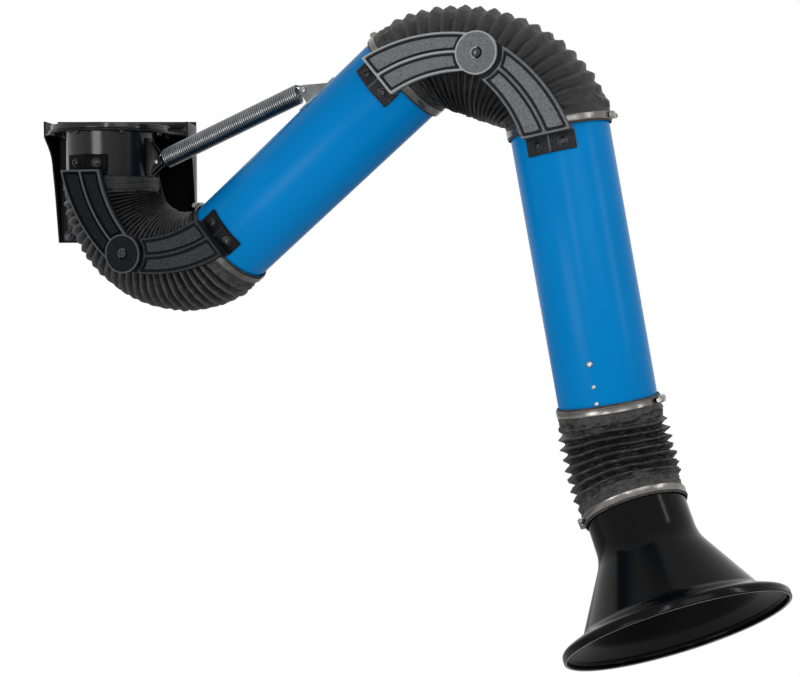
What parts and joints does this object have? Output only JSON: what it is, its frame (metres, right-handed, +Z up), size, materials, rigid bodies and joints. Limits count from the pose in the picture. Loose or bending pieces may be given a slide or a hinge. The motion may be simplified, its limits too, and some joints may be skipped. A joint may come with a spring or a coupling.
{
  "type": "fume extraction arm",
  "caption": "Wall-mounted fume extraction arm: two jointed duct tubes with ribbed elbow hoses and a balance spring, ending in a flared hood.",
  "frame": {"origin": "centre of the wall plate's back face", "axes": "+X right along the wall seen from the room, +Y into the wall, +Z up"},
  "size_m": [1.5965, 0.985, 1.3661],
  "materials": {
    "bracket_black": "satin black paint",
    "link_casting": "stippled black powder coat",
    "duct_blue": "smooth blue paint",
    "hose_fabric": "coated black fabric",
    "clamp_steel": "bright stainless band",
    "zinc_steel": "zinc plated",
    "hood_plastic": "glossy black",
    "slip_plastic": "plain"
  },
  "bodies": {
    "bracket": {"wall_bracket": "bracket_black", "swivel_ring": "bracket_black", "bearing_ring": "slip_plastic", "wall_bolt_1": "zinc_steel", "wall_bolt_2": "zinc_steel", "wall_bolt_3": "zinc_steel", "wall_bolt_4": "zinc_steel"},
    "swivel": {"swivel_collar": "bracket_black", "collar_link_near": "link_casting", "collar_link_far": "link_casting", "base_pivot_bolt_near": "zinc_steel", "base_pivot_bolt_far": "zinc_steel", "base_friction_disc_near": "slip_plastic", "base_friction_disc_far": "slip_plastic", "base_clamp_upper": "clamp_steel", "base_hose": "hose_fabric", "spring_tab_lower": "bracket_black", "spring_pin_lower": "zinc_steel", "balance_spring": "zinc_steel"},
    "boom": {"boom_tube": "duct_blue", "boom_lower_link_near": "link_casting", "boom_lower_link_far": "link_casting", "boom_upper_link_near": "link_casting", "boom_upper_link_far": "link_casting", "elbow_pivot_bolt_near": "zinc_steel", "elbow_pivot_bolt_far": "zinc_steel", "elbow_friction_disc_near": "slip_plastic", "elbow_friction_disc_far": "slip_plastic", "base_clamp_lower": "clamp_steel", "elbow_clamp_upper": "clamp_steel", "elbow_hose": "hose_fabric", "spring_tab_upper": "zinc_steel", "spring_pin_upper": "zinc_steel"},
    "forearm": {"forearm_tube": "duct_blue", "forearm_link_near": "link_casting", "forearm_link_far": "link_casting", "elbow_clamp_lower": "clamp_steel", "hood_clamp_upper": "clamp_steel", "hood_support_bar": "zinc_steel"},
    "hood_turn": {"hood_stem": "zinc_steel", "hood_stem_nut": "zinc_steel", "hood_tilt_pin": "zinc_steel", "hood_hose": "hose_fabric"},
    "hood": {"hood_shell": "hood_plastic", "hood_spider": "zinc_steel", "hood_clamp_lower": "clamp_steel"}
  },
  "joints": [
    {"name": "swivel", "type": "hinge", "parent": "bracket", "child": "swivel", "pos_m": [0, -0.19, 0.007], "axis": [0, 0, 1], "range_deg": [-140, 5]},
    {"name": "boom_lift", "type": "hinge", "parent": "swivel", "child": "boom", "pos_m": [0.10173, -0.22771, -0.1668], "axis": [-0.3476, -0.9376, 0], "range_deg": [-40, 20], "deforming": ["base_hose", "balance_spring"]},
    {"name": "elbow", "type": "hinge", "parent": "boom", "child": "forearm", "pos_m": [0.86587, -0.51098, 0.23516], "axis": [-0.3476, -0.9376, 0], "range_deg": [-25, 60], "deforming": ["elbow_hose"]},
    {"name": "hood_turn", "type": "hinge", "parent": "forearm", "child": "hood_turn", "pos_m": [1.11612, -0.60375, -0.58172], "axis": [0.1763, -0.0654, -0.9822], "range_deg": [-150, 150]},
    {"name": "hood_tilt", "type": "hinge", "parent": "hood_turn", "child": "hood", "pos_m": [1.11612, -0.60375, -0.58172], "axis": [-0.9655, -0.2057, -0.1597], "range_deg": [-46, 12], "deforming": ["hood_hose"]}
  ]
}
